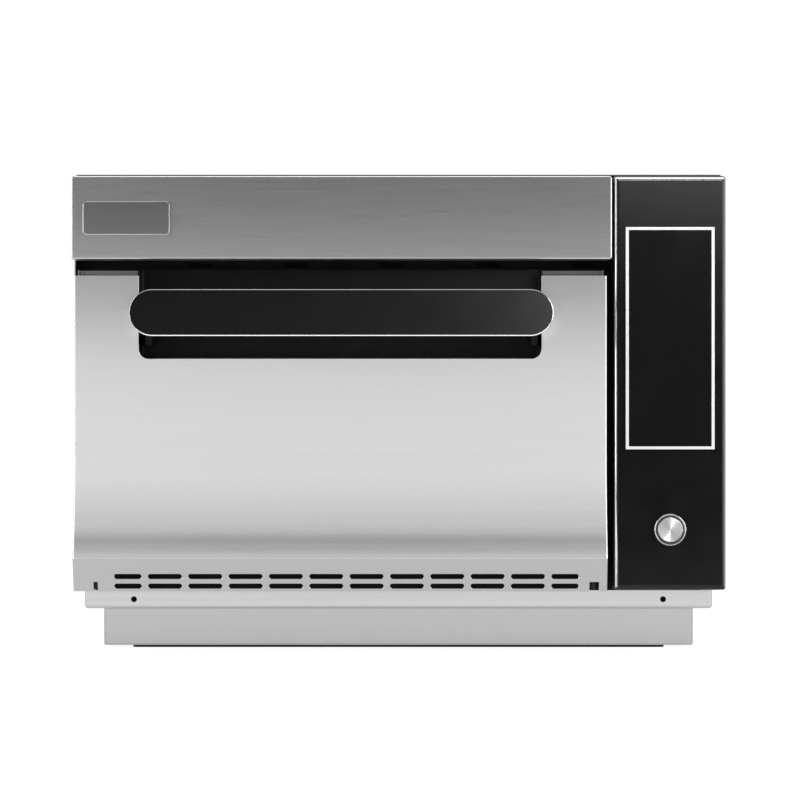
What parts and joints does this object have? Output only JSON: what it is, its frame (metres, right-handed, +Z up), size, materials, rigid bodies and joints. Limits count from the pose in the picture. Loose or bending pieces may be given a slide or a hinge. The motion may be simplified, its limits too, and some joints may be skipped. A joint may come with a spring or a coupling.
{
  "type": "speed oven",
  "caption": "Countertop speed oven with a drop-down vented door, bar handle in a recess, side control panel with display and push button, on a plinth.",
  "frame": {"origin": "on the counter, under the middle of the box that holds the whole oven", "axes": "+Z up, +X to the right seen from the front, the front and the door face -Y"},
  "size_m": [0.65, 0.7, 0.477],
  "materials": {
    "brushed_front": "brushed stainless steel, fine grain",
    "plinth_steel": "brushed stainless steel",
    "chassis_steel": "brushed stainless steel",
    "cabinet_steel": "brushed stainless steel",
    "frame_steel": "dark coated steel sheet",
    "inner_steel": "folded steel, dull",
    "chamber_steel": "satin stainless steel",
    "plate_steel": "polished rim, satin face",
    "black_panel": "black powder coat, satin",
    "handle_black": "black satin coat",
    "handle_steel": "polished stainless steel",
    "button_steel": "turned stainless steel",
    "display_line": "pale satin line",
    "display_glass": "dark gloss",
    "black_plastic": "moulded, matte",
    "foot_rubber": "matte",
    "seal_rubber": "matte",
    "hearth_ceramic": "fired stone, matte",
    "insulation": "mineral fibre",
    "fan_steel": "pressed stainless steel",
    "element_sheath": "dark oxide sheath",
    "motor_case": "dark paint",
    "aluminium": "mill finish",
    "transformer_core": "varnished laminations",
    "galvanised_steel": "galvanised",
    "pin_steel": "turned steel",
    "circuit_board": "green laminate"
  },
  "bodies": {
    "root": {"plinth": "plinth_steel", "base_pan": "chassis_steel", "foot_strip_front": "foot_rubber", "foot_strip_rear": "foot_rubber", "cabinet_wrap": "cabinet_steel", "rear_panel": "cabinet_steel", "cable_gland": "black_plastic", "front_frame": "frame_steel", "front_sill": "frame_steel", "top_fascia": "brushed_front", "badge_plate": "plate_steel", "control_panel": "black_panel", "display_frame": "display_line", "touch_display": "display_glass", "control_board": "circuit_board", "power_button_bezel": "button_steel", "power_button_switch": "black_plastic", "cavity_liner": "chamber_steel", "insulation_jacket": "insulation", "ceramic_hearth": "hearth_ceramic", "top_jet_plate": "chamber_steel", "air_baffle": "chamber_steel", "fan_plenum": "chamber_steel", "heating_element": "element_sheath", "circulation_motor": "motor_case", "waveguide_front": "aluminium", "waveguide_rear": "aluminium", "magnetron_front": "aluminium", "magnetron_rear": "aluminium", "transformer_front": "transformer_core", "transformer_rear": "transformer_core", "capacitor_front": "aluminium", "capacitor_rear": "aluminium", "cooling_blower_housing": "galvanised_steel", "cooling_blower_motor": "motor_case", "line_filter": "aluminium", "hinge_bracket_left": "galvanised_steel", "hinge_bracket_right": "galvanised_steel", "hinge_pin_left": "pin_steel", "hinge_pin_right": "pin_steel", "latch_block_left": "black_plastic", "latch_block_right": "black_plastic"},
    "door": {"door_skin": "brushed_front", "door_frame": "inner_steel", "door_choke_panel": "chamber_steel", "door_seal": "seal_rubber", "handle_recess": "black_panel", "handle_grip": "handle_black", "handle_trim": "handle_steel", "handle_post_left": "handle_steel", "handle_post_right": "handle_steel", "hinge_arm_left": "galvanised_steel", "hinge_arm_right": "galvanised_steel", "latch_hook_left": "black_plastic", "latch_hook_right": "black_plastic"},
    "power_button": {"power_button_cap": "button_steel"},
    "hot_air_wheel": {"circulation_fan": "fan_steel"},
    "blower_wheel": {"cooling_wheel": "galvanised_steel"}
  },
  "joints": [
    {"name": "door_drop", "type": "hinge", "parent": "root", "child": "door", "pos_m": [-0.0515, -0.275, 0.078], "axis": [1, 0, 0], "range_deg": [0, 90]},
    {"name": "power_press", "type": "slide", "parent": "root", "child": "power_button", "axis": [0, 1, 0], "range_m": [0, 0.0025], "stiffness_N_per_m": 400},
    {"name": "hot_air_spin", "type": "hinge", "parent": "root", "child": "hot_air_wheel", "pos_m": [-0.0515, 0.1715, 0.225], "axis": [0, 1, 0], "continuous": true},
    {"name": "blower_spin", "type": "hinge", "parent": "root", "child": "blower_wheel", "pos_m": [0.2734, 0.239, 0.1094], "axis": [1, 0, 0], "continuous": true}
  ]
}
